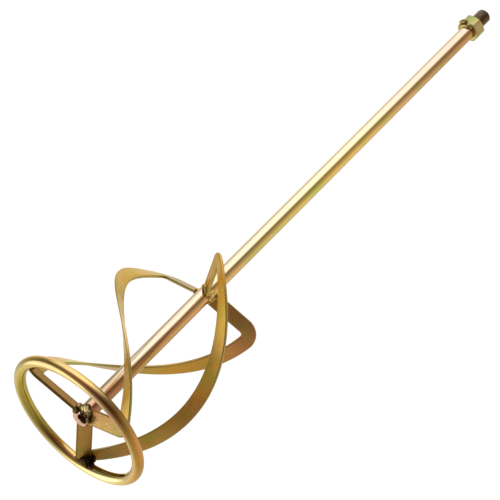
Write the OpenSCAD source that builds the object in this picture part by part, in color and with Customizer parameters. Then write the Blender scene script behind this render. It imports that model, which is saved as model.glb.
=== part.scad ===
// Mortar mixing paddle: a threaded round bar, a ring, and three flat-bar flights that wind
// left-handed round the shaft from a welded crown down to the ring.
// Stands on its ring: +Z runs up the shaft, and the origin is under the ring's centre.

/* [Overall] */
// Height from the ring's underside to the tip of the thread
total_h = 590; // [400:10:700]

/* [Shaft] */
// Diameter of the round bar
shaft_d = 14; // [12:0.5:18]
// Height of the bar's lower end above the ring's underside
shaft_foot_z = 6; // [3:0.5:9]

/* [Thread] */
// Length of thread that stands above the nut
thread_len = 17; // [12:1:30]
// Pitch of the thread
thread_pitch = 2; // [1.5:0.25:2.5]
// How much smaller the thread is across its crests than the bar
thread_undersize = 0.31; // [0.3:0.01:0.5]
// Chamfer on the thread's tip
tip_chamfer = 1.5; // [0.5:0.1:2.5]
// Depth of the neck at the root of the thread
neck_depth = 1.4; // [1.2:0.1:2]
// Length of that neck, which lies inside the nut
neck_len = 1.6; // [1:0.1:3]

/* [Nut] */
// Distance across the nut's flats
nut_af = 21; // [20:1:24]
// Height of the nut
nut_h = 11; // [8:0.5:14]
// Diameter of the nut's flat faces, as a share of the distance across its flats
nut_face_share = 0.96; // [0.9:0.01:0.98]
// Clearance round the shaft inside the nut
nut_clearance = 0.05; // [0.02:0.01:0.15]
// Chamfer angle on the nut's corners
nut_chamfer_angle = 30; // [15:1:35]

/* [Ring] */
// Outside diameter of the ring
ring_od = 135; // [110:5:160]
// Diameter of the bar that the ring is bent from
ring_bar_d = 10; // [8:0.5:12]

/* [Flat bar] */
// Width of the bar that arms, flights and spokes are made from
bar_w = 13.2; // [10:0.2:16]
// Thickness of that bar
bar_t = 2.5; // [1.5:0.25:4]

/* [Blades] */
// Height of the arms where they meet the shaft
crown_z = 170.5; // [130:1:220]
// How far an arm climbs from the shaft to its corner
arm_rise = 5.5; // [0:0.5:8]
// Radius of the corner, on the bar's centre line
corner_r = 12; // [9:0.5:16]
// How far the flight's centre line starts inside the ring's, just below the corner
flight_top_inset = 7.7; // [5:0.1:12]
// How far inside it the flight ends, at the ring
flight_foot_inset = 8.9; // [6:0.1:14]
// How far the flight bows out between the two
flight_bow = 5; // [0:0.5:6]
// How far a blade winds round the shaft, from its arm to its spoke
flight_sweep = 173; // [150:1:190]
// Direction of the first arm
arm_azimuth = 251; // [235:1:270]
// Hand-fitting: how far each arm stands round from its even place
arm_turn = [3, -3, 0]; // [-5:0.5:5]
// Hand-fitting: how far each arm stands above or below its even height
arm_lift = [-0.8, 1.8, -0.8]; // [-3:0.1:3]

/* [Spokes] */
// Height of a spoke's centre line above the round bar's lower end, at the axis
spoke_hub_rise = 7.5; // [6:0.5:9]
// Height of a spoke's centre line above the middle of the ring, where the two meet
spoke_seat = 1.5; // [1:0.1:3]
// How far a spoke stops short of the ring's centre line
spoke_end_inset = 2; // [1:0.5:4]
// Radius of the spoke's free corner at the ring, on the side away from the blade's foot
spoke_corner_r = 8; // [2:0.5:8]
// Root gap that is left for the weld between the shaft and a spoke
spoke_root_gap = 0.3; // [0.3:0.1:0.8]

/* [Welds] */
// Radius of one drop of weld metal
drop_r = 2.2; // [1.5:0.1:3]
// How much a drop's radius wanders along its bead, as a share of it
drop_wander = 0.16; // [0:0.02:0.25]
// Share of the gap between two spokes at the hub that their beads fill
hub_fill = 0.9; // [0.6:0.05:0.95]
// Share of the bar's width that a bead on an arm or at the hub covers
bead_share = 0.8; // [0.5:0.05:0.9]
// Radius of the heavier drops on the ring's seam
seam_drop_r = 3; // [2:0.1:4]
// Angle between the first and the last drop of the seam's weld
seam_span = 18; // [10:1:22]

/* [Hidden] */
$fn = 96;

blades = 3;
even_turn = 360 / blades;
shaft_r = shaft_d / 2;
ring_bar_r = ring_bar_d / 2;
ring_r = ring_od / 2 - ring_bar_r;
nut_top_z = total_h - thread_len;
ring_inner_r = ring_r - ring_bar_r;
nut_z = nut_top_z - nut_h;
past = 1; // how far a cutter runs on past the face that it cuts through

zinc_gold = [0.76, 0.60, 0.27];
zinc_olive = [0.66, 0.62, 0.32];
zinc_bright = [0.86, 0.72, 0.42];
weld_dark = [0.20, 0.13, 0.06];

// ---- small vector helpers ----
function radial(a) = [cos(a), sin(a), 0];
function tangent(a) = [-sin(a), cos(a), 0];
// Direction down a flight that falls at the angle f: round the axis and downwards
function down(a, f) = cos(f) * tangent(a) - sin(f) * [0, 0, 1];

// ---- spokes ----
spoke_azimuth = arm_azimuth + flight_sweep;
spoke_hub_z = shaft_foot_z + spoke_hub_rise;
spoke_fall = atan((spoke_hub_z - ring_bar_r - spoke_seat) / ring_inner_r);
spoke_end_r = ring_r - spoke_end_inset;

// ---- the rule of a blade ----
// Arm: straight out along the radius. Corner: a quarter turn on the bar's own face.
// Flight: round the axis and down at one angle, its width held along the radius.
flight_top_r = ring_r - flight_top_inset;
flight_foot_r = ring_r - flight_foot_inset;
spoke_foot_z = spoke_hub_z - tan(spoke_fall) * flight_foot_r;
corner_start_r = flight_top_r - corner_r;
arm_slope = arm_rise / (corner_start_r - shaft_r);
function arm_angle(k) = arm_azimuth + arm_turn[k];
function arm_z(k, r) = crown_z + arm_lift[k] + arm_slope * (r - shaft_r);
function flight_top_z(k) = arm_z(k, flight_top_r);
// Length of the turn round the axis, laid out flat at the flight's top radius
function turn_len(k) = (spoke_azimuth - arm_angle(k)) * PI / 180 * flight_top_r;
function fall(k) = atan2(flight_top_z(k) - spoke_foot_z, turn_len(k));
function flight_len(k) = (flight_top_z(k) - spoke_foot_z) / sin(fall(k));
function angle_at(k, s) = arm_angle(k) + s * cos(fall(k)) / flight_top_r * 180 / PI;

// The four corners of the bar's section: centre c, width along w, thickness along n
function section(c, w, n) = [for (q = [[-1, -1], [-1, 1], [1, 1], [1, -1]])
    c + q[0] * bar_w / 2 * w + q[1] * bar_t / 2 * n];

function arm_section(k, r) = let (a = arm_angle(k))
    section(r * radial(a) + [0, 0, arm_z(k, r)], down(a, fall(k)),
            cross(radial(a), down(a, fall(k))));

function corner_section(k, turned) = let (
        s = corner_r * (1 - cos(turned)),
        r = corner_start_r + corner_r * sin(turned),
        a = angle_at(k, s),
        d = down(a, fall(k)))
    section(r * radial(a) + [0, 0, arm_z(k, r) - s * sin(fall(k))],
            cos(turned) * d - sin(turned) * radial(a), cross(radial(a), d));

// u runs from 0 under the corner to 1 at the spoke
function flight_section(k, u) = let (
        s = corner_r + (flight_len(k) - bar_w / 2 - corner_r) * u,
        r = flight_top_r + (flight_foot_r - flight_top_r) * u + flight_bow * 4 * u * (1 - u),
        a = angle_at(k, s),
        d = down(a, fall(k)))
    section(r * radial(a) + [0, 0, flight_top_z(k) - s * sin(fall(k))], -radial(a),
            cross(radial(a), d));

// The foot's end face lies flat on the spoke's upper edge
function tipped(v) = [cos(spoke_fall) * v[0] + sin(spoke_fall) * v[2], v[1],
                      -sin(spoke_fall) * v[0] + cos(spoke_fall) * v[2]];
function turned_by(a, v) = [cos(a) * v[0] - sin(a) * v[1], sin(a) * v[0] + cos(a) * v[1], v[2]];
function spoke_vec(k, v) = turned_by(spoke_azimuth, tipped(v));
function foot_section(k) = let (
        along = flight_foot_r / cos(spoke_fall),
        w = [0, cos(fall(k)), -sin(fall(k))],
        n = [0, sin(fall(k)), cos(fall(k))])
    section([0, 0, spoke_hub_z] + spoke_vec(k, [along, 0, 0] - bar_w / 2 * w),
            spoke_vec(k, [-1, 0, 0]), spoke_vec(k, n));

arm_steps = 4;
corner_steps = 12;
flight_steps = 54;
foot_start = 0.985; // share of the flight that follows the rule; the rest turns onto the spoke
function blade_sections(k) = concat(
    [for (i = [0:arm_steps]) arm_section(k, shaft_r + (corner_start_r - shaft_r) * i / arm_steps)],
    [for (i = [1:corner_steps]) corner_section(k, 90 * i / corner_steps)],
    [for (i = [1:flight_steps]) flight_section(k, foot_start * i / flight_steps)],
    [foot_section(k)]);

// Skins a row of sections that have the same number of points
module skin(rows) {
    m = len(rows[0]);
    last = (len(rows) - 1) * m;
    points = [for (row = rows) for (p = row) p];
    sides = [for (i = [0:len(rows) - 2], j = [0:m - 1], half = [0, 1])
        let (a = i * m + j, b = i * m + (j + 1) % m)
        half == 0 ? [a, b, a + m] : [b, b + m, a + m]];
    ends = [[for (j = [m - 1:-1:0]) j], [for (j = [0:m - 1]) last + j]];
    polyhedron(points, concat(sides, ends), convexity = 10);
}

module blade(k) {
    color(zinc_gold) rotate([0, 0, even_turn * k]) skin(blade_sections(k));
}

// How far a spoke's tilt brings its end face nearer to the shaft, at most
steepest = max([for (k = [0:blades - 1]) fall(k)]);
tilt_reach = sin(spoke_fall) * bar_t / 2 / cos(steepest)
    + shaft_r / 2 * pow(sin(spoke_fall) * tan(steepest), 2);
spoke_start_r = (shaft_r + spoke_root_gap + tilt_reach) / cos(spoke_fall);

// Carries its children from the spoke's own frame, X outwards and Z off its face, into place
module at_spoke(k) {
    rotate([0, 0, spoke_azimuth + even_turn * k]) translate([0, 0, spoke_hub_z])
        rotate([0, spoke_fall, 0]) rotate([-fall(k), 0, 0]) children();
}

module spoke_outline() {
    end = spoke_end_r / cos(spoke_fall);
    difference() {
        translate([spoke_start_r, -bar_w / 2]) square([end - spoke_start_r, bar_w]);
        translate([end - spoke_corner_r, bar_w / 2 - spoke_corner_r]) difference() {
            square(spoke_corner_r + past);
            circle(spoke_corner_r);
        }
    }
}

module spoke_bar(k) {
    at_spoke(k) translate([0, 0, -bar_t / 2]) linear_extrude(bar_t) spoke_outline();
}

module spoke(k) {
    color(zinc_gold) difference() {
        spoke_bar(k);
        ring_solid();
    }
}

// ---- ring ----
ring_facets = 288;
module ring_solid() {
    translate([0, 0, ring_bar_r]) rotate_extrude($fn = ring_facets)
        translate([ring_r, 0]) circle(ring_bar_r, $fn = ring_facets / 3);
}

module ring() {
    color(zinc_bright) ring_solid();
}

// ---- shaft, its thread and the nut ----
// Ring grooves with the thread's own section stand in for its helix, so that the stud keeps
// true cylinders at its crests. As shares of the pitch: a groove's depth, and its width at the crest.
depth_share = 0.6;
mouth_share = 7 / 8;
flank_angle = 30;
groove_lip = 0.1; // how far a groove's section runs on past the crest
thread_r = (shaft_d - thread_undersize) / 2;
thread_depth = thread_pitch * depth_share;
crest_top_z = total_h - tip_chamfer;
groove_count = ceil((thread_len - tip_chamfer) / thread_pitch);

module groove_section() {
    mouth = thread_pitch * mouth_share / 2;
    lip = mouth + groove_lip * tan(flank_angle);
    floor = mouth - thread_depth * tan(flank_angle);
    polygon([[-thread_depth, -floor], [groove_lip, -lip], [groove_lip, lip], [-thread_depth, floor]]);
}

// The highest crest ends where the chamfer on the tip begins
module thread_grooves() {
    rotate_extrude() for (i = [0:groove_count - 1])
        translate([thread_r, crest_top_z - thread_pitch * (i + 1 - mouth_share / 2)]) groove_section();
}

module shaft() {
    color(zinc_bright) difference() {
        union() {
            translate([0, 0, shaft_foot_z])
                cylinder(r = shaft_r, h = nut_top_z - neck_len - shaft_foot_z);
            translate([0, 0, shaft_foot_z])
                cylinder(r = shaft_r - neck_depth, h = nut_top_z - shaft_foot_z);
            translate([0, 0, nut_top_z]) cylinder(r = thread_r, h = crest_top_z - nut_top_z);
            translate([0, 0, crest_top_z])
                cylinder(r1 = thread_r, r2 = thread_r - tip_chamfer, h = tip_chamfer);
        }
        thread_grooves();
    }
}

nut_corner_r = nut_af / sqrt(3);
nut_face_r = nut_af / 2 * nut_face_share;
nut_chamfer_h = (nut_corner_r - nut_face_r) * tan(nut_chamfer_angle);

// The round blank that rounds off the hexagon's corners at both ends
module nut_blank() {
    cylinder(r1 = nut_face_r, r2 = nut_corner_r, h = nut_chamfer_h);
    translate([0, 0, nut_chamfer_h]) cylinder(r = nut_corner_r, h = nut_h - 2 * nut_chamfer_h);
    translate([0, 0, nut_h - nut_chamfer_h])
        cylinder(r1 = nut_corner_r, r2 = nut_face_r, h = nut_chamfer_h);
}

module nut() {
    color(zinc_olive) translate([0, 0, nut_z]) difference() {
        intersection() {
            rotate([0, 0, 30]) cylinder(r = nut_corner_r, h = nut_h, $fn = 6);
            nut_blank();
        }
        translate([0, 0, -past]) cylinder(r = shaft_r + nut_clearance, h = nut_h + 2 * past);
    }
}

// ---- welds: rows of overlapping drops, cut back to the faces they run along ----
drop_facets = 48;
drop_turn = 137; // spreads the wander of the drops' sizes so that no two neighbours match
bead_drops = 4;
seam_drops = 6;
nut_weld_drops = 9;
nut_weld_mid = 200;
nut_weld_span = 150;
// Where a drop's centre stands off the faces that it joins, as shares of its radius
off_round = 0.25;
off_flat = 0.1;

function drop_size(i, r) = r * (1 + drop_wander * sin(i * drop_turn));
// The largest radius that a drop can have
function drop_max(r) = r * (1 + drop_wander);

module drop(i, r) {
    sphere(r = drop_size(i, r), $fn = drop_facets);
}

module shaft_core() {
    translate([0, 0, shaft_foot_z - past]) cylinder(r = shaft_r, h = total_h);
}

module nut_weld() {
    color(weld_dark) difference() {
        for (i = [0:nut_weld_drops - 1])
            rotate([0, 0, nut_weld_mid + nut_weld_span * (i / (nut_weld_drops - 1) - 0.5)])
                translate([shaft_r + drop_r * off_round, 0, nut_z - drop_r * off_round])
                    drop(i, drop_r);
        shaft_core();
        translate([0, 0, nut_z]) cylinder(r = nut_af, h = nut_h);
    }
}

// A bead of drops of one size on each face of a flat bar, across its width between the shares
// y0 and y1, at the radius r
module beads(size, r, y0, y1) {
    for (side = [-1, 1], i = [0:bead_drops - 1])
        translate([r, bar_w * (y0 + (y1 - y0) * i / (bead_drops - 1)),
                   side * (bar_t / 2 + size * off_flat)])
            drop(i + bead_drops * side, size);
}

module end_beads(size) {
    beads(size, shaft_r + size * off_round, -bead_share / 2, bead_share / 2);
}

// The inner part of an arm, as a plain bar
module arm_slab(k) {
    multmatrix([[1, 0, 0, 0], [0, 1, 0, 0], [arm_slope, 0, 1, -arm_slope * shaft_r], [0, 0, 0, 1]])
        rotate([-fall(k), 0, 0]) translate([shaft_r, -bar_w / 2, -bar_t / 2])
            cube([corner_start_r - shaft_r, bar_w, bar_t]);
}

module arm_weld(k) {
    color(weld_dark) difference() {
        rotate([0, 0, arm_angle(k) + even_turn * k]) translate([0, 0, crown_z + arm_lift[k]])
            difference() {
                rotate([-fall(k), 0, 0]) end_beads(drop_r);
                arm_slab(k);
            }
        shaft_core();
    }
}

// Free width between the faces of two neighbouring spokes, round the shaft's face
flattest = min([for (k = [0:blades - 1]) fall(k)]);
hub_gap = 2 * PI * shaft_r / blades * sin(flattest) - bar_t;
hub_drop_r = hub_fill * hub_gap / 2 / (1 + off_flat + drop_wander);
root_inset = 0.1; // how far the root's metal lies inside the bar's own section

// The metal that fills the gap between the shaft and a spoke's end
module root_fill() {
    thick = bar_t - 2 * root_inset;
    translate([0, -bar_w * bead_share / 2, -thick / 2])
        cube([spoke_start_r + past, bar_w * bead_share, thick]);
}

module hub_weld(k) {
    color(weld_dark) difference() {
        at_spoke(k) {
            end_beads(hub_drop_r);
            root_fill();
        }
        shaft_core();
        spoke_bar(k);
    }
}

// The foot's beads join spoke, blade and ring, and keep above the floor
foot_bead_top = -0.45;
foot_bead_bottom = 0;
foot_clearance = 0.05;
// The lower end of a blade, as a plain bar that goes on from the spoke's upper edge
module blade_foot(k) {
    at_spoke(k) translate([shaft_r, -bar_w / 2 - 2 * drop_r, -bar_t / 2 - foot_clearance])
        cube([ring_r, 2 * drop_r + foot_clearance, bar_t + 2 * foot_clearance]);
}

module foot_beads(k) {
    at_spoke(k) beads(drop_r, ring_inner_r - drop_r * off_round, foot_bead_top, foot_bead_bottom);
}

// The hoop closes under the first spoke, so its weld runs low round the ring's inner side there
seam_turn = -2.5; // the weld's middle, from the spoke's direction
seam_r = ring_inner_r + ring_bar_r * 0.2;
seam_z = max(ring_bar_r * 0.6, drop_max(seam_drop_r));
module seam_row() {
    for (i = [0:seam_drops - 1])
        rotate([0, 0, spoke_azimuth + seam_turn + seam_span * (i / (seam_drops - 1) - 0.5)])
            translate([seam_r, 0, seam_z]) drop(i, seam_drop_r);
}

module foot_weld(k) {
    color(weld_dark) difference() {
        foot_beads(k);
        ring_solid();
        spoke_bar(k);
        blade_foot(k);
        if (k == 0) seam_row();
    }
}

module ring_seam_weld() {
    color(weld_dark) difference() {
        seam_row();
        ring_solid();
        spoke_bar(0);
    }
}

shaft();
nut();
nut_weld();
ring();
ring_seam_weld();
blade(0);  // blade_1
blade(1);  // blade_2
blade(2);  // blade_3
spoke(0);  // spoke_1
spoke(1);  // spoke_2
spoke(2);  // spoke_3
arm_weld(0);  // arm_weld_1
arm_weld(1);  // arm_weld_2
arm_weld(2);  // arm_weld_3
hub_weld(0);  // hub_weld_1
hub_weld(1);  // hub_weld_2
hub_weld(2);  // hub_weld_3
foot_weld(0);  // foot_weld_1
foot_weld(1);  // foot_weld_2
foot_weld(2);  // foot_weld_3
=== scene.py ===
import bpy
import numpy as np
from mathutils import Matrix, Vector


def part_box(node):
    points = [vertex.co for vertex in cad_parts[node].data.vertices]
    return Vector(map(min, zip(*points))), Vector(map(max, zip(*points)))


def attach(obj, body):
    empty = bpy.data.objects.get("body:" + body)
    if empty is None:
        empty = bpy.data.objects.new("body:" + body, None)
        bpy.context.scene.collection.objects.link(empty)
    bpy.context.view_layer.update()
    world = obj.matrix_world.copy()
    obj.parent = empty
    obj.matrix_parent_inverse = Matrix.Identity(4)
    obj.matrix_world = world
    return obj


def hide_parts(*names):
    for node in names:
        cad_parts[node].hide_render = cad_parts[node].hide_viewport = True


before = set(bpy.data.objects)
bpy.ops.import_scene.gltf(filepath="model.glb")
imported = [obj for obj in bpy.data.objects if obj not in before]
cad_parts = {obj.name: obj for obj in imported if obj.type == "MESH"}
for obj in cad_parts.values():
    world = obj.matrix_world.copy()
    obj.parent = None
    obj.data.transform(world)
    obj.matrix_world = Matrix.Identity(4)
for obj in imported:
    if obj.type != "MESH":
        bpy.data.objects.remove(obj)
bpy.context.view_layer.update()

# ---- Shaft ----
# A drawn round steel bar, 14 mm across, with its foot sawn square and an M14 thread with a short
# relief neck cut straight on its upper end. It is plated in yellow zinc, which shows gold, olive
# and copper-pink where the film is thicker or thinner, and is dull brown on the thread. A creamy
# stripe down one side is a painted highlight, and a reddish brown line beside it is a painted
# dark reflection.
shaft_low, shaft_high = (np.array(c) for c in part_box("shaft"))
nut_low, nut_high = (np.array(c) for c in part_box("nut"))
shaft_r = (shaft_high[0] - shaft_low[0]) / 2
thread_pitch, thread_depth, crest_below_bar = 0.002, 0.0012, 0.000155
thread_r = shaft_r - crest_below_bar
neck_len, neck_depth, tip_chamfer, foot_round = 0.0016, 0.0014, 0.0015, 0.0006


def skinned(name, rows, wrap=False, sharp=None, **marks):
    """A mesh over rows of points, shape (n, m, 3): neighbouring rows are joined by quads and every
    row closes on itself. wrap joins the last row to the first; otherwise both ends are closed by
    a fan on the row's mean point. Edges that turn by more than the angle sharp stay crisp. Each
    of marks, a number or a triple for every point, becomes an attribute of the mesh. The winding
    is turned round where the signed volume, the sum of p0 . (p1 x p2) / 6, is negative."""
    n, m, _ = rows.shape
    i, j = np.meshgrid(np.arange(n if wrap else n - 1), np.arange(m), indexing="ij")
    near, far, step = i * m, (i + 1) % n * m, (j + 1) % m
    quads = np.stack([near + j, near + step, far + step, far + j], -1).reshape(-1, 4)
    points, fans = rows.reshape(-1, 3), np.zeros((0, 3), int)
    if not wrap:
        around, last = np.arange(m), (n - 1) * m
        points = np.vstack([points, rows[0].mean(0), rows[-1].mean(0)])
        fans = np.vstack([np.stack([(around + 1) % m, around, 0 * around + n * m], -1),
                          np.stack([last + around, last + (around + 1) % m, 0 * around + n * m + 1], -1)])
    tris = np.vstack([quads[:, [0, 1, 2]], quads[:, [0, 2, 3]], fans])
    a, b, c = (points[tris[:, k]] for k in range(3))
    if (a * np.cross(b, c)).sum() < 0:
        quads, fans = quads[:, ::-1], fans[:, ::-1]
    mesh = bpy.data.meshes.new(name)
    mesh.from_pydata(points.tolist(), [], quads.tolist() + fans.tolist())
    mesh.polygons.foreach_set("use_smooth", np.ones(len(mesh.polygons), bool))
    for mark, values in marks.items():
        values = values[..., None] if values.ndim == 2 else values
        flat = values.reshape(n * m, -1)
        if not wrap:
            flat = np.vstack([flat, values[[0, -1]].mean(1)])
        width = flat.shape[1]
        kind = mesh.attributes.new(mark, "FLOAT" if width == 1 else "FLOAT_VECTOR", "POINT")
        kind.data.foreach_set("value" if width == 1 else "vector", flat.astype(np.float32).ravel())
    if sharp:
        mesh.set_sharp_from_angle(angle=sharp)
    mesh.update()
    piece = bpy.data.objects.new(name, mesh)
    bpy.context.collection.objects.link(piece)
    return piece


def polar(r, a, h):
    """The points at the radius r, the azimuth a and the height h: (r cos a, r sin a, h)."""
    return np.stack([r * np.cos(a), r * np.sin(a), h + 0 * a], -1)


def turned(profile, around, groove):
    """A surface of revolution about Z from a profile, shape (n, 2), of heights and radii: the
    point (h, a) has the profile's radius at the height h, or less where groove(h, a) is less."""
    h, a = np.meshgrid(profile[:, 0], np.arange(around) * 2 * np.pi / around, indexing="ij")
    return polar(np.minimum(profile[:, 1:], groove(h, a)), a, h)


def thread(h, a):
    """Radius of the thread: that of its crests, less a depth that falls from its full value at the
    helix h = start + pitch * (a / 2 pi + whole turns) to nothing, down flanks of 30 degrees."""
    start = nut_high[2] - neck_len
    off = (h - start) / thread_pitch - a / (2 * np.pi)
    off = np.abs(off - np.round(off)) * thread_pitch
    flank = np.tan(np.radians(30))
    deep = np.clip((thread_pitch / 16 + thread_depth * flank - off) / flank, 0, thread_depth)
    return np.where(h > start, thread_r - deep, shaft_r)


class Wire:
    """A socket in a material's tree. The operators + - * / ** on it, with a number or another
    wire on either side, add Math nodes and give the wire of their result."""

    def __init__(self, finish, socket):
        self.finish, self.socket = finish, socket

    def __add__(self, other):
        return self.finish.math("ADD", self, other)

    def __sub__(self, other):
        return self.finish.math("SUBTRACT", self, other)

    def __rsub__(self, other):
        return self.finish.math("SUBTRACT", other, self)

    def __mul__(self, other):
        return self.finish.math("MULTIPLY", self, other)

    def __truediv__(self, other):
        return self.finish.math("DIVIDE", self, other)

    def __pow__(self, other):
        return self.finish.math("POWER", self, other)

    __radd__, __rmul__ = __add__, __mul__


class Finish:
    """A material's node tree while it is being written."""

    def __init__(self, name, tree=None):
        self.material = None if tree else bpy.data.materials.new(name)
        if self.material:
            self.material.use_nodes = True
        self.tree = tree or self.material.node_tree
        self.tree.nodes.clear()

    def node(self, kind, settings=None, values=None, out=0):
        """Adds a node: first its settings, with a ramp's stops as (place, colour) pairs, then its
        sockets, each a plain value or a wire. Gives the wire of the output out."""
        made = self.tree.nodes.new(kind)
        for key, value in (settings or {}).items():
            if key == "stops":
                elements = made.color_ramp.elements
                for k, (place, colour) in enumerate(value):
                    element = elements[k] if k < len(elements) else elements.new(place)
                    element.position, element.color = place, (*colour, 1)
            else:
                setattr(made, key, value)
        for key, value in (values or {}).items():
            if isinstance(value, Wire):
                self.tree.links.new(value.socket, made.inputs[key])
            else:
                made.inputs[key].default_value = value
        return Wire(self, made.outputs[out]) if len(made.outputs) else made

    def math(self, operation, *values):
        """A Math node on one or two values."""
        return self.node("ShaderNodeMath", {"operation": operation}, dict(enumerate(values)))

    def place(self, stretch=(1, 1, 1), mark=None):
        """Object coordinates in metres, or the attribute mark, times stretch."""
        spot = (self.node("ShaderNodeAttribute", {"attribute_name": mark}, out="Vector") if mark
                else self.node("ShaderNodeTexCoord", out="Object"))
        return self.node("ShaderNodeVectorMath", {"operation": "MULTIPLY"}, {0: spot, 1: stretch})

    def axis(self, k, mark=None):
        """The coordinate k of the place, or of the attribute mark."""
        return self.node("ShaderNodeSeparateXYZ", {}, {0: self.place(mark=mark)}, out=k)

    def cosine(self, way, direction):
        """The cosine of the angle between two directions of unit length."""
        return self.node("ShaderNodeVectorMath", {"operation": "DOT_PRODUCT"},
                         {0: way, 1: tuple(direction)}, out="Value")

    def noise(self, place, scale, detail, rough):
        """Noise from 0 to 1 in patches of about 1 / scale metres, over finer octaves of itself."""
        return self.node("ShaderNodeTexNoise", {}, {"Vector": place, "Scale": scale,
                                                    "Detail": detail, "Roughness": rough})

    def step(self, wire, low, high):
        """0 below low and 1 above high, with a smooth rise between."""
        return self.node("ShaderNodeMapRange", {"interpolation_type": "SMOOTHSTEP"},
                         {"Value": wire, "From Min": low, "From Max": high})

    def blend(self, mask, a, b):
        """The colour a where the mask is 0 and b where it is 1."""
        a, b = (c if isinstance(c, Wire) else (*c, 1) for c in (a, b))
        return self.node("ShaderNodeMix", {"data_type": "RGBA"}, {0: mask, 6: a, 7: b}, out=2)

    def dyed(self, colour, by):
        """The colour times a tint."""
        if not isinstance(colour, Wire):
            return tuple(c * t for c, t in zip(colour, by))
        return self.node("ShaderNodeVectorMath", {"operation": "MULTIPLY"}, {0: colour, 1: by})

    def surface(self, height, bump, **sockets):
        """The shader and the output: height, in metres, bumps the surface."""
        normal = self.node("ShaderNodeBump", {}, {"Strength": bump, "Distance": 1.0, "Height": height})
        shader = self.node("ShaderNodeBsdfPrincipled", {},
                           {"Normal": normal, **{k.replace("_", " "): v for k, v in sockets.items()}})
        self.node("ShaderNodeOutputMaterial", {}, {"Surface": shader})
        return self.material


def zinc(name, tints, rough, where=None, mark=None, along=(1, 1, 1), coat=0.7, grain=0.3,
         dull=None, flat=(0.075, 0.045, 0.022), thick=(), pale=(), less=None):
    """Yellow zinc plating, its patterns read at the object's place or at the attribute mark.
    tints is the body colour, or stops (place, colour) of it, read at the place that where gives.
    along squeezes the patterns into streaks in the direction in which the bar was drawn or
    rolled. Broad noise drifts the body towards olive and, elsewhere, towards a copper blush;
    fine streaks and pits change its tint, its roughness and its height. grain is how much the
    fine mottle shows. thick, pairs of a direction and an amount, are the sides dyed reddish
    brown as a painted dark reflection, which stays on them whatever the light. pale, given
    alike, are the sides blended to a creamy white as a painted highlight, narrowed by what less
    gives. dull gives the mask of a flat film of the colour flat. where, less and dull are
    functions of the finish."""
    olive, copper, dusk = (0.76, 1.0, 0.72), (1.12, 0.76, 1.15), (0.6, 0.55, 0.5)
    # The colour (0.96, 0.42, 0.28) dyes the painted dark reflection, and (0.93, 0.85, 0.71) is the
    # painted highlight's creamy white.
    shade, dark_reflection_red = (0.66, 0.60, 0.55), (0.96, 0.42, 0.28)
    pit_brown, painted_highlight_cream = (0.09, 0.06, 0.025), (0.93, 0.85, 0.71)
    f = Finish(name)
    spot, normal = f.place(mark=mark), f.node("ShaderNodeTexCoord", out="Normal")
    drift = f.noise(spot, 38, 3, 0.55)
    warm = f.noise(f.place(tuple(0.6 * c for c in along), mark), 90, 3, 0.6)
    lines = f.noise(f.place(along, mark), 900, 4, 0.65)
    mottle = f.step(f.noise(spot, 750, 2, 0.7), 0.45, 0.62)
    speck = f.step(f.noise(spot, 1500, 2, 0.6), 0.66, 0.74)
    body = f.node("ShaderNodeValToRGB", {"stops": tints}, {"Fac": where(f)}) if where else tints
    colour = f.blend(f.step(drift, 0.44, 0.64), body, f.dyed(body, olive))
    colour = f.blend(f.step(warm, 0.5, 0.7) * 0.75, colour, f.dyed(body, copper))
    colour = f.blend(f.step(lines, 0.4, 0.75) * 0.3, colour, f.dyed(body, dusk))
    colour = f.blend(speck * 0.5, colour, pit_brown)
    colour = f.blend(mottle * grain, colour, f.dyed(colour, shade))
    # Painted dark reflection: the sides facing each given direction are dyed reddish brown.
    for side, amount in thick:
        mask = f.step(f.cosine(normal, side), 0.84, 0.96)
        colour = f.blend(mask * amount, colour, f.dyed(body, dark_reflection_red))
    # Painted highlight: the sides facing each given direction are blended towards a creamy white.
    for side, amount in pale:
        facing = f.cosine(normal, side)
        mask = f.step(facing - less(f) if less else facing, 0.76, 0.96)
        colour = f.blend(mask * amount, colour, f.blend(0.74, body, painted_highlight_cream))
    roughness = rough * (1 + (lines - 0.5) * 0.7 + (drift - 0.5) * 0.5) + speck * 0.2
    # On the bars' edges the flat film is painted shade; on the thread it is the thread's dull colour,
    # deepened in the roots by painted shade.
    if dull:
        mask = dull(f)
        colour = f.blend(mask, colour, flat)
        roughness = roughness + mask * 0.25
    height = lines * 0.000012 - speck * 0.00001 + drift * 0.00006
    return f.surface(height, 0.6, Base_Color=colour, Metallic=1.0, Roughness=roughness,
                     Specular_Tint=(0.9, 0.77, 0.5, 1), Coat_Weight=coat, Coat_Roughness=0.08,
                     Coat_IOR=1.7)


def share_of_height(f):
    """0 at the foot and 1 at the thread's tip."""
    return f.axis(2) / float(shaft_high[2])


def near_foot(f):
    """What narrows the painted highlight near the foot: 0.13 up to 7 per cent of the height, and
    nothing from 15 per cent."""
    return (1 - f.step(share_of_height(f), 0.07, 0.15)) * 0.13


def thread_film_and_root_shade(f):
    """0.55 on the thread's crests and 0.95 in its roots, coming in over the nut's height; the extra
    in the roots is painted shade.
    """
    x, y = f.axis(0), f.axis(1)
    deep = f.step(shaft_r - (x * x + y * y) ** 0.5, 0.00015, 0.0008)
    return (deep * 0.4 + 0.55) * f.step(f.axis(2), nut_low[2], nut_high[2])


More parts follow.
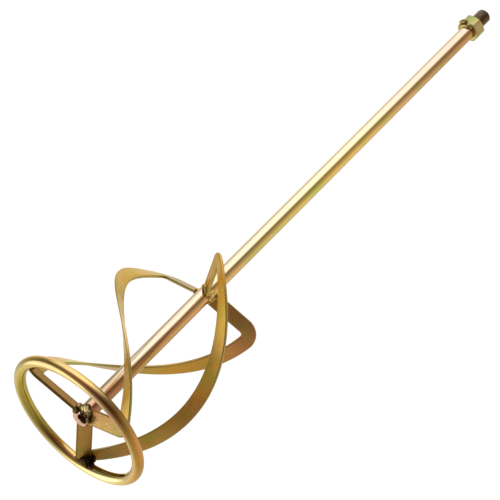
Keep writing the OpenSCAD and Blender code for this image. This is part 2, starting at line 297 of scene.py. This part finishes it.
turn = np.linspace(0, np.pi / 2, 6)
plain_h = np.linspace(shaft_low[2] + foot_round, nut_high[2] - neck_len, 120)
thread_h = np.linspace(nut_high[2], shaft_high[2] - tip_chamfer, 150)
tip_h = np.linspace(shaft_high[2] - tip_chamfer, shaft_high[2], 18)
shaft_profile = np.vstack([
    [[shaft_low[2], shaft_r * s] for s in (0.1, 0.4, 0.7)],
    np.stack([shaft_low[2] + foot_round * (1 - np.cos(turn)),
              shaft_r - foot_round * (1 - np.sin(turn))], -1),
    np.stack([plain_h, 0 * plain_h + shaft_r], -1)[1:],
    [[nut_high[2] - neck_len + d, shaft_r - neck_depth] for d in (0.0001, 0.0008, neck_len - 0.0001)],
    np.stack([thread_h, 0 * thread_h + thread_r], -1),
    np.stack([tip_h, thread_r - (tip_h - tip_h[0])], -1)[1:],
    [[shaft_high[2], (thread_r - tip_chamfer) * s] for s in (0.8, 0.5, 0.2)]])
shaft_tints = [(0.0105, (0.80, 0.46, 0.34)), (0.013, (0.50, 0.24, 0.07)), (0.06, (0.46, 0.21, 0.05)),
               (0.13, (0.58, 0.30, 0.036)), (0.22, (0.85, 0.40, 0.13)), (0.36, (0.89, 0.55, 0.15)),
               (0.50, (0.91, 0.66, 0.13)), (0.65, (1.00, 0.63, 0.12)), (0.78, (0.85, 0.47, 0.155)),
               (0.90, (0.68, 0.32, 0.077))]
shaft = skinned("shaft_bar", turned(shaft_profile, 128, thread), sharp=np.radians(40))
# The thick entry paints a thin reddish brown line of dark reflection down the bar, and the pale entries
# paint a creamy highlight beside it, narrower near the foot.
shaft.data.materials.append(zinc("zinc_drawn_bar", shaft_tints, 0.17, share_of_height,
                                 along=(1, 1, 0.05), dull=thread_film_and_root_shade,
                                 thick=[((0.14, -0.99, 0), 0.12)],
                                 pale=[((-0.54, -0.838, 0.083), 0.85), ((-0.97, -0.24, 0), 0.5)],
                                 less=near_foot))
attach(shaft, "root")
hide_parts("shaft")

# ---- Nut ----
# A steel hexagon nut, 21 mm across its flats, turned down to a 30 degree chamfer at both faces
# and run up to the end of the thread. Its olive plating is matt, and bright on the corners.
nut_af, nut_h, nut_round = 0.021, nut_high[2] - nut_low[2], 0.0006
nut_corner, nut_face_r, nut_bore = nut_af / np.sqrt(3), nut_af / 2 * 0.96, shaft_r + 0.00005


def hexagon(a):
    """Distance from the axis to the hexagon's side in the direction a, with a flat towards +X and
    its corners rounded: the sides' distances af / (2 cos) joined by a soft minimum."""
    side = (a + np.pi / 6) % (np.pi / 3) - np.pi / 6
    flat = nut_af / 2 / np.cos(side)
    return flat - nut_round * np.exp((flat - nut_corner) / nut_round * 1.5)


def share_of_turn(f):
    """0 at -X, 0.25 at -Y, 0.5 at +X and 0.75 at +Y."""
    return f.math("ARCTAN2", f.axis(1), f.axis(0)) / (2 * np.pi) + 0.5


# Half of the section runs from the middle of the bore round its lip and out over a face to the
# corner; the other half mirrors it.
a = np.arange(192) * 2 * np.pi / 192
rise = np.linspace(0, 1, 14)
blank = nut_face_r + rise * (nut_corner - nut_face_r)
drop = rise * (nut_corner - nut_face_r) * np.tan(np.radians(30))
lip = [nut_bore, nut_bore, nut_bore + 0.0005, nut_bore + 0.0009]
lip_h = [nut_h / 2, 0.0005, 0.0001, 0.0]
rim = np.concatenate([lip, [nut_face_r - 0.0004], blank])
rim_h = np.concatenate([lip_h, [0.0], drop])
nut_r = np.concatenate([rim, rim[::-1]])[:, None]
nut_z = np.concatenate([nut_low[2] + rim_h, nut_high[2] - rim_h[::-1]])[:, None]
nut_rows = polar(np.minimum(nut_r, hexagon(a)), a, nut_z)
nut = skinned("nut_hexagon", nut_rows, wrap=True, sharp=np.radians(25))
nut_tints = [(0.0, (0.36, 0.34, 0.12)), (0.14, (0.40, 0.37, 0.13)), (0.24, (0.66, 0.46, 0.15)),
             (0.34, (0.62, 0.44, 0.14)), (0.42, (0.50, 0.44, 0.11)), (0.60, (0.62, 0.48, 0.14)),
             (1.0, (0.36, 0.34, 0.12))]
nut.data.materials.append(zinc("zinc_matt_nut", nut_tints, 0.36, share_of_turn))
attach(nut, "root")
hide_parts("nut")

# ---- Nut weld ----
# A short fillet of weld metal that locks the nut from below, laid by hand in small steps. Weld
# metal takes the plating badly and stays a dark, glossy brown with gold only on its crowns.
drop_r, nut_weld_mid, nut_weld_span = 0.0022, np.radians(200), np.radians(150)


def lumps(points, size, seed, count=30):
    """Smooth lumps of about the given size and of unit height: a sum of cosines of the point
    along random directions, from a seed."""
    rng = np.random.default_rng(seed)
    ways = rng.normal(size=(count, 3)) * 2.2 / size
    return np.cos(points @ ways.T + rng.uniform(0, 2 * np.pi, count)).sum(-1) / np.sqrt(count / 2)


def bead(path, out, radius, seed, around=36, ripple=0.0013):
    """Rows of a run of weld metal along a path, with out pointing off the work. The section is
    round; its radius rises from nothing and falls to it as (1 - (2 t - 1) ** 6) ** 0.5, is
    pinched by 3 per cent as |sin| between the welder's steps, a ripple apart and curved back at
    the sides, and carries lumps of 4.2 mm, a tenth high, and of 1.4 mm, a hundredth high."""
    t = np.linspace(0, 1, len(path))[:, None]
    forward = np.gradient(path, axis=0)
    forward /= np.linalg.norm(forward, axis=1)[:, None]
    out = out - (out * forward).sum(1)[:, None] * forward
    out /= np.linalg.norm(out, axis=1)[:, None]
    side = np.cross(forward, out)
    b = np.arange(around) * 2 * np.pi / around
    s = np.concatenate([[0], np.cumsum(np.linalg.norm(np.diff(path, axis=0), axis=1))])[:, None]
    end = np.sqrt(1 - (2 * np.clip(t, 0.002, 0.998) - 1) ** 6)
    steps = np.abs(np.sin(np.pi * (s / ripple + 0.35 * np.cos(b)))) ** 0.7
    way = np.cos(b)[:, None] * out[:, None] + np.sin(b)[:, None] * side[:, None]
    r = radius * end * (0.97 + 0.03 * steps)
    points = path[:, None] + r[..., None] * way
    r = r * (1 + 0.10 * lumps(points, 0.0042, seed) + 0.008 * lumps(points, 0.0014, seed + 1))
    return path[:, None] + r[..., None] * way


def weld_metal(name, dark, crown, share):
    """Weld metal under plating, of the colour dark and, over a share of it, in broad patches of
    the colour crown; glossy where it froze smooth, with scale and small spatter pits."""
    f = Finish(name)
    spot = f.place()
    broad = f.noise(spot, 150, 1, 0.5)
    fine = f.noise(spot, 900, 2, 0.5)
    colour = f.blend(f.step(broad, 0.88 - share, 1.2 - share), dark, crown)
    colour = f.blend(f.step(fine, 0.54, 0.72) * 0.3, colour, tuple(0.45 * c for c in dark))
    roughness = 0.12 + broad * 0.2 + f.step(fine, 0.52, 0.66) * 0.12
    return f.surface(fine * 0.000015 + broad * 0.0002, 0.5, Base_Color=colour, Metallic=1.0,
                     Roughness=roughness, Specular_Tint=(0.85, 0.68, 0.4, 1), Coat_Weight=0.04,
                     Coat_Roughness=0.1)


def welded(name, rows, finish, node):
    """A run of weld metal as a piece of its own, which stands for the node."""
    piece = skinned(name, rows)
    piece.data.materials.append(finish)
    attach(piece, "root")
    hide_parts(node)


brown_weld = weld_metal("weld_brown", (0.15, 0.085, 0.035), (0.52, 0.37, 0.14), 0.62)
a = nut_weld_mid + nut_weld_span * np.linspace(-0.5, 0.5, 80)
nut_weld_path = polar(shaft_r + drop_r * 0.25, a, nut_low[2] - drop_r * 0.25)
welded("nut_weld_bead", bead(nut_weld_path, polar(1, a, -1), drop_r * 1.05, 3, ripple=0.003),
       brown_weld, "nut_weld")
# Its middle runs up over the nut's side.
a, nut_toe_r = a[26:58], 0.0016
nut_toe_path = polar(nut_af / 2 + 0.0003, a, nut_low[2] + 0.0012)
welded("nut_weld_toe", bead(nut_toe_path, polar(1, a, 0), nut_toe_r, 5, ripple=0.003),
       brown_weld, "nut_weld")

# ---- Ring ----
# Round bar, 10 mm thick, rolled into a hoop 135 mm across and butt-welded. Its plating is the
# glossiest of all, since the bar was bright before it was bent.
ring_low, ring_high = (np.array(c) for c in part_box("ring"))
ring_bar_r = (ring_high[2] - ring_low[2]) / 2
ring_r = (ring_high[0] - ring_low[0]) / 2 - ring_bar_r
ring_z = (ring_low[2] + ring_high[2]) / 2


def hoop(radius, around=288, across=64):
    """A torus of the ring's bar: the point (a, b) lies at the radius R + r cos b, the azimuth a
    and the height z + r sin b."""
    a, b = np.meshgrid(np.arange(around) * 2 * np.pi / around,
                       np.arange(across) * 2 * np.pi / across, indexing="ij")
    return polar(radius + ring_bar_r * np.cos(b), a, ring_z + ring_bar_r * np.sin(b))


# The attribute coil is the same torus with its radius drawn in to a sixth, so that patterns
# in it are stretched along the bar.
ring = skinned("ring_hoop", hoop(ring_r), wrap=True, coil=hoop(ring_r / 6))
# The stops round the hoop are the plating's colours, with the bright stops near 0.20 and 0.60 partly
# painted highlight and the dark stop at 0.28 partly painted dark reflection.
ring_tints_and_painted_light = [(0.0, (0.65, 0.48, 0.045)), (0.12, (0.84, 0.47, 0.06)), (0.20, (1.00, 0.56, 0.045)),
              (0.28, (0.43, 0.19, 0.014)), (0.36, (0.70, 0.35, 0.037)), (0.50, (0.68, 0.39, 0.034)),
              (0.60, (1.00, 0.84, 0.27)), (0.70, (0.86, 0.56, 0.066)), (0.80, (0.52, 0.39, 0.042)),
              (0.92, (0.56, 0.41, 0.037)), (1.0, (0.65, 0.48, 0.045))]
# The thick entry paints a reddish brown band of dark reflection on the bar, and the pale entries paint
# creamy highlights on two of its sides.
ring.data.materials.append(zinc("zinc_bright_hoop", ring_tints_and_painted_light, 0.09, share_of_turn,
                                mark="coil", coat=0.5, thick=[((-0.12, -0.88, -0.46), 0.62)],
                                pale=[((-0.425, -0.901, 0.083), 0.3),
                                      ((-0.353, -0.278, -0.893), 0.35)]))
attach(ring, "root")
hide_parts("ring")

# ---- Ring seam weld ----
# The heavy weld that closes the hoop, laid low round its inner side under the first spoke. It is
# the darkest metal on the tool.
arm_azimuth, flight_sweep = np.radians(251), np.radians(173)
spoke_azimuth = arm_azimuth + flight_sweep
seam_r, seam_z, seam_drop_r = ring_r - 1.05 * ring_bar_r, 0.0052, 0.0036
seam_shift, seam_span = np.radians(3), np.radians(18)
black_weld = weld_metal("weld_black", (0.026, 0.011, 0.006), (0.11, 0.055, 0.025), 0.42)
a = spoke_azimuth - seam_shift + seam_span * np.linspace(-0.55, 0.55, 110)
welded("ring_seam_bead",
       bead(polar(seam_r, a, seam_z), -polar(1, a, 0), seam_drop_r, 11, ripple=0.0045),
       black_weld, "ring_seam_weld")

# ---- Blades ----
# Three lengths of flat steel bar, 13.2 by 2.5 mm, each bent on a former: an arm straight out
# from the shaft, a corner on the bar's own face, and a left-hand flight that winds down to the
# ring. The bar's corners are rolled round, and the bends leave it satin and a little wavy.
bar_w, bar_t, bar_corner, end_round = 0.0132, 0.0025, 0.0007, 0.0005
crown_z, arm_rise, corner_r = 0.1705, 0.0055, 0.012
flight_top_r, flight_foot_r, flight_bow = ring_r - 0.0077, ring_r - 0.0089, 0.005
arm_turn, arm_lift = np.radians([3, -3, 0]), np.array([-0.0008, 0.0018, -0.0008])
third = 2 * np.pi / 3
spoke_hub_z, spoke_over_bar = shaft_low[2] + 0.0075, 0.0015
spoke_fall = np.arctan((spoke_hub_z - ring_bar_r - spoke_over_bar) / (ring_r - ring_bar_r))
spoke_foot_z = spoke_hub_z - np.tan(spoke_fall) * flight_foot_r
corner_start_r = flight_top_r - corner_r
arm_slope = arm_rise / (corner_start_r - shaft_r)


def arm_height(k, r):
    """The height of blade k's arm at the radius r: a straight climb from the shaft's wall."""
    return crown_z + arm_lift[k] + arm_slope * (r - shaft_r)


def fall_of(k):
    """The angle at which blade k goes down: from its flight's top to its spoke, over the length
    of the turn between them, laid out flat at the flight's top radius."""
    return np.arctan2(arm_height(k, flight_top_r) - spoke_foot_z,
                      (flight_sweep - arm_turn[k]) * flight_top_r)


def spun(a, v):
    """The vectors v turned by the angle a about Z."""
    c, s = np.cos(a), np.sin(a)
    return np.stack([c * v[..., 0] - s * v[..., 1], s * v[..., 0] + c * v[..., 1],
                     v[..., 2] + 0 * c], -1)


def tipped(v):
    """The vectors v turned about Y by the spokes' fall."""
    c, s = np.cos(spoke_fall), np.sin(spoke_fall)
    return np.stack([c * v[..., 0] + s * v[..., 2], v[..., 1], -s * v[..., 0] + c * v[..., 2]], -1)


def leant(f):
    """The width and the face direction of a bar that runs along X and leans by the angle f."""
    return np.array([0, np.cos(f), -np.sin(f)]), np.array([0, np.sin(f), np.cos(f)])


def blade_path(k):
    """Centre line, width and face directions of blade k. Arm: along the radius, climbing a
    little. Corner: a quarter turn in the plane of the bar's face. Flight: the angle grows and the
    height falls together at the blade's own fall, while the radius goes from top to foot with a
    bow of 4 u (1 - u) between. Foot: on the spoke's edge."""
    f = fall_of(k)
    top_z = arm_height(k, flight_top_r)
    length = (top_z - spoke_foot_z) / np.sin(f)
    r1 = np.linspace(shaft_r, corner_start_r, 40)
    t2 = np.linspace(0, np.pi / 2, 25)[1:]
    u3 = np.linspace(0, 0.985, 241)[1:]
    r2 = corner_start_r + corner_r * np.sin(t2)
    s2 = corner_r * (1 - np.cos(t2))
    s3 = corner_r + (length - bar_w / 2 - corner_r) * u3
    r3 = flight_top_r + (flight_foot_r - flight_top_r) * u3 + flight_bow * 4 * u3 * (1 - u3)
    r, s = np.concatenate([r1, r2, r3]), np.concatenate([0 * r1, s2, s3])
    height = np.concatenate([arm_height(k, r1), arm_height(k, r2) - s2 * np.sin(f),
                             top_z - s3 * np.sin(f)])
    bend = np.concatenate([0 * r1, t2, 0 * u3 + np.pi / 2])[:, None]
    a = arm_azimuth + arm_turn[k] + s * np.cos(f) / flight_top_r
    centre, out = polar(r, a, height), polar(1, a, 0)
    down = np.stack([-np.sin(a) * np.cos(f), np.cos(a) * np.cos(f), 0 * a - np.sin(f)], -1)
    wide, face = np.cos(bend) * down - np.sin(bend) * out, np.cross(out, down)
    spoke_edge, spoke_face = leant(f)
    foot = tipped(np.array([flight_foot_r / np.cos(spoke_fall), 0, 0]) - bar_w / 2 * spoke_edge)
    ends = [spun(spoke_azimuth, v) for v in (foot + [0, 0, spoke_hub_z],
                                             tipped(np.array([-1.0, 0, 0])), tipped(spoke_face))]
    return [spun(k * third, np.vstack([v, e])) for v, e in zip((centre, wide, face), ends)]


def bar_outline(width, thick, corner):
    """Outline of the flat bar's section, shape (m, 2): four quarter circles, joined by long sides
    with a few points of their own."""
    q = np.linspace(0, np.pi / 2, 6)
    side = np.linspace(1, -1, 11)[1:-1, None] * (width / 2 - corner)
    parts = []
    for k, (sx, sy) in enumerate([(1, 1), (-1, 1), (-1, -1), (1, -1)]):
        parts.append(corner * np.stack([np.cos(q + k * np.pi / 2), np.sin(q + k * np.pi / 2)], -1)
                     + [sx * (width / 2 - corner), sy * (thick / 2 - corner)])
        if k in (0, 2):
            parts.append(np.hstack([sx * side, 0 * side + sy * thick / 2]))
    return np.vstack(parts)


bar_section = bar_outline(bar_w, bar_t, bar_corner)


def flat_bar(name, centre, wide, face, high=bar_w / 2):
    """The bar's section carried along the centre line, its first coordinate along wide and its
    second along face, with its size drawn in over a quarter circle at each end. high is how far
    the bar reaches along wide, where it is cut back. The attribute bar holds every point's place
    in the bar as if it lay straight: along, across and through it. The attribute edge is 1 on
    the rounded corners, three quarters on the narrow sides and 0 on the flats."""
    along = np.concatenate([[0], np.cumsum(np.linalg.norm(np.diff(centre, axis=0), axis=1))])
    near = np.array([0, 0.07, 0.3, 0.6, 1.0]) * end_round
    stops = np.concatenate([near, along[(along > 2 * end_round) & (along < along[-1] - 2 * end_round)],
                            along[-1] - near[::-1]])
    centre, wide, face = (np.stack([np.interp(stops, along, v[:, c]) for c in range(3)], -1)[:, None]
                          for v in (centre, wide, face))
    gap = np.minimum(stops, along[-1] - stops)
    pull = end_round - np.sqrt(end_round ** 2 - np.clip(end_round - gap, 0, None) ** 2)
    half = np.abs(bar_section).max(0)
    shaped = bar_section * (1 - pull[:, None, None] / half)
    reach = np.interp(stops, along, high + 0 * along)[:, None]
    shaped[..., 0] = (shaped[..., 0] + bar_w / 2) * (reach / bar_w + 0.5) - bar_w / 2
    rows = centre + shaped[..., :1] * wide + shaped[..., 1:] * face
    place = np.concatenate([stops[:, None, None] + 0 * shaped[..., :1], shaped], -1)
    share = np.abs(bar_section) / half
    edge = np.maximum(np.clip((share.sum(1) - 1.72) / 0.1, 0, 1), 0.75 * (share[:, 0] > 0.99))
    return skinned(name, rows, bar=place, edge=np.broadcast_to(edge, shaped.shape[:2]))


def painted_edge_shade(f):
    """Half on the bar's rounded corners, nearly as much on its narrow sides and nothing on its
    faces: the mask of a flat film that darkens the bar's edges as painted shade."""
    edge = f.node("ShaderNodeAttribute", {"attribute_name": "edge"}, out="Fac")
    return f.step(edge, 0.3, 0.9) * 0.5


def share_of_bar(f):
    """0 at the shaft and 1 at the ring, 300 mm along the bar."""
    return f.axis(0, mark="bar") / 0.3


blade_tints = [
    [(0.0, (0.85, 0.58, 0.078)), (0.12, (0.82, 0.44, 0.02)), (0.25, (1.00, 0.56, 0.053)),
     (0.40, (0.60, 0.34, 0.05)), (0.50, (0.76, 0.47, 0.099)), (0.60, (0.76, 0.45, 0.13)),
     (0.72, (0.99, 0.54, 0.099)), (0.80, (0.71, 0.34, 0.054)), (0.88, (0.37, 0.19, 0.038)),
     (0.95, (0.26, 0.14, 0.032))],
    [(0.0, (0.53, 0.31, 0.066)), (0.10, (0.54, 0.28, 0.06)), (0.16, (0.94, 0.42, 0.13)),
     (0.22, (1.00, 0.45, 0.11)), (0.30, (0.87, 0.39, 0.06)), (0.42, (0.73, 0.38, 0.03)),
     (0.50, (0.68, 0.34, 0.04)), (0.60, (0.73, 0.53, 0.16)), (0.70, (0.99, 0.76, 0.29)),
     (0.80, (0.62, 0.38, 0.078))],
    [(0.0, (0.34, 0.19, 0.02)), (0.10, (0.32, 0.18, 0.02)), (0.18, (0.64, 0.41, 0.066)),
     (0.28, (0.72, 0.44, 0.043)), (0.40, (0.79, 0.47, 0.032)), (0.50, (0.80, 0.47, 0.04)),
     (0.58, (0.74, 0.52, 0.10)), (0.67, (0.94, 0.66, 0.24)), (0.73, (1.00, 0.62, 0.22)),
     (0.78, (0.68, 0.37, 0.06)), (0.85, (0.86, 0.54, 0.13)), (0.92, (0.80, 0.47, 0.09))]]
for k in range(3):
    blade = flat_bar(f"blade_{k + 1}_bar", *blade_path(k))
    # The blades' edges take a dull olive film as painted shade.
    blade.data.materials.append(zinc(f"zinc_flight_{k + 1}", blade_tints[k], 0.3, share_of_bar,
                                     mark="bar", along=(0.06, 1, 1), dull=painted_edge_shade, coat=0.3,
                                     grain=0.15, flat=(0.40, 0.36, 0.14)))
    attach(blade, "root")
    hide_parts(f"blade_{k + 1}")

# ---- Arm welds ----
# A bead on either face of each arm, across most of the bar's width, where it butts on the shaft,
# and three passes laid over the bar between two of the arms. The zinc took well here.
bead_share = 0.8
gold_weld = weld_metal("weld_gold", (0.12, 0.06, 0.018), (0.86, 0.58, 0.18), 0.60)


def across_bar(k, side, size, r=shaft_r, y0=-bead_share / 2, y1=bead_share / 2):
    """Path and outward direction of a bead of drops of the given size on one face of a bar that
    lies at blade k's fall: from y0 to y1 of the bar's width, a quarter of the size off the
    wall of radius r."""
    y = np.linspace(y0, y1, 60)[:, None] * bar_w
    wide, up = leant(fall_of(k))
    off = np.array([r + np.copysign(0.25, ring_r / 2 - r) * size, 0, 0])
    return off + y * wide + side * (bar_t / 2 + size * 0.1) * up, side * up + 0 * y


for k in range(3):
    a = arm_azimuth + arm_turn[k] + k * third
    for side, face in ((1, "upper"), (-1, "lower")):
        path, out = across_bar(k, side, drop_r)
        path = spun(a, path) + [0, 0, crown_z + arm_lift[k]]
        welded(f"arm_weld_{k + 1}_{face}", bead(path, spun(a, out), drop_r, 20 + 4 * k + side),
               gold_weld, f"arm_weld_{k + 1}")

# Each pass climbs a little as it goes round, and lies over the upper part of the one before.
a = np.radians(np.linspace(283, 343, 60))
cover_z, cover_climb, cover_sunk, cover_drop_r = 0.1666, 0.002, 0.0006, 0.0024
for n, high in enumerate((0.0, 0.0026, 0.0052)):
    path = polar(shaft_r - cover_sunk, a, cover_z + high + cover_climb * (a - a[0]))
    welded(f"arm_weld_1_cover_{n + 1}",
           bead(path, polar(1, a, 0), cover_drop_r, 95 + n, ripple=0.0028),
           gold_weld, "arm_weld_1")

# ---- Spokes ----
# Three short cuts of the same flat bar, from the shaft's foot to the ring's inner side. They
# slope down a little, lie at the flights' own angle, and have their free corner at the ring
# rounded off.
spoke_start, spoke_end = shaft_r + 0.0006, (ring_r - 0.004) / np.cos(spoke_fall)
spoke_corner = 0.008


def spoke_path(k):
    """A straight centre line that falls from the hub to the ring; its width lies at the fall of
    blade k, tipped with the spoke. The corner is the quarter circle (R sin t, R cos t)."""
    t = np.linspace(0, np.pi / 2, 16)
    plain = np.linspace(spoke_start, spoke_end - spoke_corner, 50)[:-1]
    x = np.concatenate([plain, spoke_end - spoke_corner * (1 - np.sin(t))])[:, None]
    high = bar_w / 2 - spoke_corner * (1 - np.concatenate([0 * plain + 1, np.cos(t)]))
    line = tipped(x * [1.0, 0, 0]) + [0, 0, spoke_hub_z]
    wide, face = (tipped(0 * x + v) for v in leant(fall_of(k)))
    return [spun(spoke_azimuth + k * third, v) for v in (line, wide, face)] + [high]


spoke_tints = [(0.55, 0.29, 0.043), (0.44, 0.21, 0.025), (0.74, 0.46, 0.13)]
for k in range(3):
    spoke = flat_bar(f"spoke_{k + 1}_bar", *spoke_path(k))
    # The spokes' edges take a dark brown film as painted shade.
    spoke.data.materials.append(zinc(f"zinc_spoke_{k + 1}", spoke_tints[k], 0.34, mark="bar",
                                     along=(0.06, 1, 1), dull=painted_edge_shade, coat=0.3,
                                     grain=0.8 if k == 2 else 0.5))
    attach(spoke, "root")
    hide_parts(f"spoke_{k + 1}")

# ---- Hub and foot welds ----
# Heavier beads at a spoke's two ends: round the shaft's foot, where three passes close the gap
# between each pair of spokes, and where spoke, blade and ring meet.
hub_drop_r, hub_cover_r, hub_cover_sunk, hub_cover_len = 0.00283, 0.0025, 0.0008, 0.0112
# Its broad creamy olive patches are partly the plating on the weld and partly painted glints.
hub_weld = weld_metal("weld_glossy", (0.045, 0.022, 0.009), (0.68, 0.54, 0.25), 0.49)


def gap_bead(k, off):
    """Path and outward direction of a bead between spokes k and k + 1: round the shaft, along
    the spokes' own slant, and off the middle of the gap."""
    f = fall_of(k)
    y = np.linspace(-hub_cover_len / 2, hub_cover_len / 2, 60)
    a = spoke_azimuth + (k + 0.5) * 2 * np.pi / 3 + (y * np.cos(f) + off * np.sin(f)) / shaft_r
    height = spoke_hub_z - y * np.sin(f) + off * np.cos(f)
    return polar(shaft_r - hub_cover_sunk, a, height), polar(1, a, 0)


# One pass was laid over the foot's edge as well.
a = np.radians(np.linspace(238, 322, 60))
toe_r, toe_sunk, toe_drop_r = 0.0062, 0.0002, 0.0024
welded("hub_weld_2_toe",
       bead(polar(toe_r, a, shaft_low[2] + toe_sunk), polar(1, a, -1), toe_drop_r, 91, ripple=0.003),
       black_weld, "hub_weld_2")

for k in range(3):
    a = spoke_azimuth + k * third
    for n, off in enumerate((-0.0023, 0.0, 0.0023)):
        welded(f"hub_weld_{k + 1}_cover_{n + 1}",
               bead(*gap_bead(k, off), hub_cover_r, 80 + 3 * k + n, ripple=0.0026),
               hub_weld, f"hub_weld_{k + 1}")
    foot_drop_r, foot_weld, foot_reach = ((0.003, black_weld, (-0.8, 0.1)) if k == 0
                                          else (drop_r, brown_weld, (-0.45, 0)))
    for side, face in ((1, "upper"), (-1, "lower")):
        path, out = across_bar(k, side, hub_drop_r)
        path = spun(a, tipped(path)) + [0, 0, spoke_hub_z]
        welded(f"hub_weld_{k + 1}_{face}",
               bead(path, spun(a, tipped(out)), hub_drop_r, 40 + 4 * k + side),
               hub_weld, f"hub_weld_{k + 1}")
        path, out = across_bar(k, side, foot_drop_r, ring_r - ring_bar_r, *foot_reach)
        path = spun(a, tipped(path)) + [0, 0, spoke_hub_z]
        welded(f"foot_weld_{k + 1}_{face}",
               bead(path, spun(a, tipped(out)), foot_drop_r, 60 + 4 * k + side, ripple=0.003),
               foot_weld, f"foot_weld_{k + 1}")

# ---- Studio ----
# A pale floor under the ring, an even pale surround and the camera, which looks up at the tool
# from below its ring, so the floor is clear from underneath.
f = Finish("studio_floor")
pale = f.node("ShaderNodeBsdfDiffuse", {}, {"Color": (0.8, 0.8, 0.8, 1)})
clear = f.node("ShaderNodeBsdfTransparent")
below = f.node("ShaderNodeNewGeometry", out="Backfacing")
one_sided = f.node("ShaderNodeMixShader", {}, {0: below, 1: pale, 2: clear})
f.node("ShaderNodeOutputMaterial", {}, {"Surface": one_sided})
reach = 3
corners = [(-reach, -reach, 0), (reach, -reach, 0), (reach, reach, 0), (-reach, reach, 0)]
floor_mesh = bpy.data.meshes.new("floor")
floor_mesh.from_pydata(corners, [], [(0, 1, 2, 3)])
floor_mesh.materials.append(f.material)
floor = bpy.data.objects.new("floor", floor_mesh)
bpy.context.collection.objects.link(floor)
floor.visible_glossy = floor.visible_shadow = False

to_right = np.array([0.7072, -0.3512, 0.6136])
to_top = np.array([-0.7070, -0.3513, 0.6138])
to_back = np.cross(to_right, to_top)
world = bpy.data.worlds.new("studio")
world.use_nodes = True
bpy.context.scene.world = world
f = Finish("studio", world.node_tree)
way = f.node("ShaderNodeTexCoord", out="Generated")


def towards(azimuth, elevation):
    """The cosine between the way that is looked in and the direction at an azimuth from the
    camera's side towards its right, and an elevation towards its top, both in degrees."""
    az, el = np.radians(azimuth), np.radians(elevation)
    level = np.sin(az) * to_right + np.cos(az) * to_back
    return f.cosine(way, np.cos(el) * level + np.sin(el) * to_top)


# Two softboxes with clear edges, given by strength, direction, and the angles from it at which
# their light is full and gone; then soft glows a exp(k (cos - 1)) from walls and table.
boxes = [(1.0, 45, 82, 18, 50), (1.1, -94, -16, 16, 34)]
glows = [(0.96, 6.3, 182, 31), (0.53, 1.2, -23, -50), (-0.40, 3.0, -4, -20),
         (0.66, 2.2, 112, -14), (0.5, 9.0, -2, 52), (0.68, 5.2, -143, -32), (-0.16, 160, 54, 31)]
light, least, backdrop = 0.05, 0.03, 1.05
for strength, azimuth, elevation, full, gone in boxes:
    low, high = (float(np.cos(np.radians(angle))) for angle in (gone, full))
    light = light + f.step(towards(azimuth, elevation), low, high) * strength
for strength, narrow, azimuth, elevation in glows:
    light = light + f.math("EXPONENT", (towards(azimuth, elevation) - 1) * narrow) * strength
light = f.math("MAXIMUM", light, least)
seen = f.node("ShaderNodeLightPath", out="Is Camera Ray")
light = light * (1 - seen) + seen * backdrop
surround = f.node("ShaderNodeBackground", {}, {"Color": (1, 1, 1, 1), "Strength": light})
f.node("ShaderNodeOutputWorld", {}, {"Surface": surround})

camera = bpy.data.objects.new("camera", bpy.data.cameras.new("camera"))
bpy.context.collection.objects.link(camera)
place = np.eye(4)
place[:3, :3] = np.stack([to_right, to_top, to_back], -1)
place[:3, 3] = [0.0003, -1.684, -0.7329]
camera.matrix_world = Matrix(place.tolist())
camera.data.sensor_width = 36
camera.data.lens = 4.52 * 36
bpy.context.scene.camera = camera
bpy.context.scene.view_settings.view_transform = "Standard"
